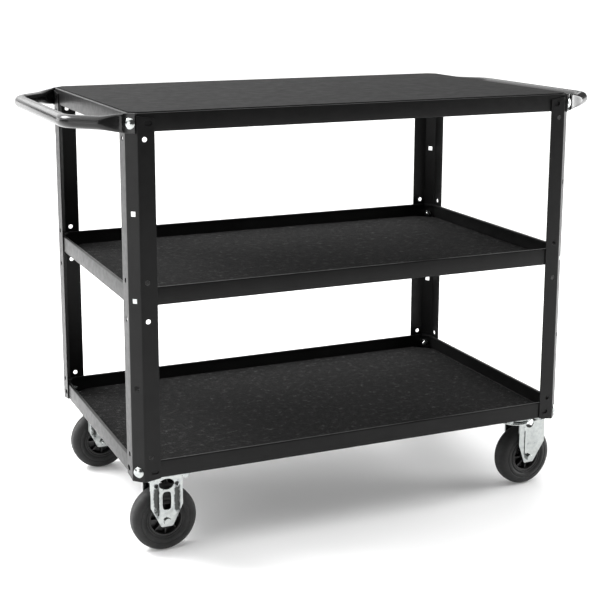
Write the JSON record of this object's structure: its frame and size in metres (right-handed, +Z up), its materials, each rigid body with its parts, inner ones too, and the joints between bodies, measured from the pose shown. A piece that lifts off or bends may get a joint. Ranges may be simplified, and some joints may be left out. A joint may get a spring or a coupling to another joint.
{
  "type": "utility cart",
  "caption": "Steel utility cart with carpeted shelves in folded trays, bolted corner posts, tubular end handles, and fixed and swivel casters.",
  "frame": {"origin": "floor level, under the middle of the cart", "axes": "+X along the length towards the swivel casters, +Y towards the rear, +Z up"},
  "size_m": [1.108, 0.5562, 0.8268],
  "materials": {
    "powder_coat": "satin textured black powder coat",
    "gloss_tube": "gloss black",
    "carpet": "short charcoal fibre",
    "smooth_mat": "matt dark grey",
    "rubber_tyre": "matt",
    "hub_plastic": "semi-matt black",
    "zinc": "bright zinc plate"
  },
  "bodies": {
    "frame": {"axle_front_left": "zinc", "axle_nut_front_left": "zinc", "axle_nut_rear_left": "zinc", "axle_rear_left": "zinc", "bolt_bottom_front_left": "zinc", "bolt_bottom_front_right": "zinc", "bolt_bottom_rear_left": "zinc", "bolt_bottom_rear_right": "zinc", "bolt_top_front_left": "zinc", "bolt_top_front_right": "zinc", "bolt_top_rear_left": "zinc", "bolt_top_rear_right": "zinc", "fixed_bracket_front_left": "zinc", "fixed_bracket_rear_left": "zinc", "handle_left": "gloss_tube", "handle_right": "gloss_tube", "mat_bottom": "carpet", "mat_middle": "carpet", "mat_top": "smooth_mat", "nut_bottom_front_left": "zinc", "nut_bottom_front_right": "zinc", "nut_bottom_rear_left": "zinc", "nut_bottom_rear_right": "zinc", "nut_middle_front_left": "zinc", "nut_middle_front_right": "zinc", "nut_middle_rear_left": "zinc", "nut_middle_rear_right": "zinc", "nut_top_front_left": "zinc", "nut_top_front_right": "zinc", "nut_top_rear_left": "zinc", "nut_top_rear_right": "zinc", "post_front_left": "powder_coat", "post_front_right": "powder_coat", "post_rear_left": "powder_coat", "post_rear_right": "powder_coat", "shelf_bottom": "powder_coat", "shelf_middle": "powder_coat", "shelf_top": "powder_coat", "stud_middle_front_left": "zinc", "stud_middle_front_right": "zinc", "stud_middle_rear_left": "zinc", "stud_middle_rear_right": "zinc", "swivel_plate_front_right": "zinc", "swivel_plate_rear_right": "zinc"},
    "wheel_front_left": {"tyre_front_left": "rubber_tyre", "hub_front_left": "hub_plastic"},
    "wheel_front_right": {"tyre_front_right": "rubber_tyre", "hub_front_right": "hub_plastic"},
    "wheel_rear_left": {"tyre_rear_left": "rubber_tyre", "hub_rear_left": "hub_plastic"},
    "wheel_rear_right": {"tyre_rear_right": "rubber_tyre", "hub_rear_right": "hub_plastic"},
    "swivel_front_right": {"swivel_bearing_front_right": "zinc", "swivel_fork_front_right": "zinc", "axle_front_right": "zinc", "axle_nut_front_right": "zinc"},
    "swivel_rear_right": {"swivel_bearing_rear_right": "zinc", "swivel_fork_rear_right": "zinc", "axle_rear_right": "zinc", "axle_nut_rear_right": "zinc"}
  },
  "joints": [
    {"name": "wheel_spin_front_left", "type": "hinge", "parent": "frame", "child": "wheel_front_left", "pos_m": [-0.388, -0.223, 0.0625], "axis": [0, 1, 0], "continuous": true},
    {"name": "wheel_spin_rear_left", "type": "hinge", "parent": "frame", "child": "wheel_rear_left", "pos_m": [-0.388, 0.223, 0.0625], "axis": [0, 1, 0], "continuous": true},
    {"name": "swivel_turn_front_right", "type": "hinge", "parent": "frame", "child": "swivel_front_right", "pos_m": [0.386, -0.216, 0.14], "axis": [0, 0, 1], "continuous": true},
    {"name": "wheel_spin_front_right", "type": "hinge", "parent": "swivel_front_right", "child": "wheel_front_right", "pos_m": [0.40742, -0.21413, 0.0625], "axis": [-0.0872, 0.9962, 0], "continuous": true},
    {"name": "swivel_turn_rear_right", "type": "hinge", "parent": "frame", "child": "swivel_rear_right", "pos_m": [0.386, 0.216, 0.14], "axis": [0, 0, 1], "continuous": true},
    {"name": "wheel_spin_rear_right", "type": "hinge", "parent": "swivel_rear_right", "child": "wheel_rear_right", "pos_m": [0.40742, 0.21787, 0.0625], "axis": [-0.0872, 0.9962, 0], "continuous": true}
  ]
}
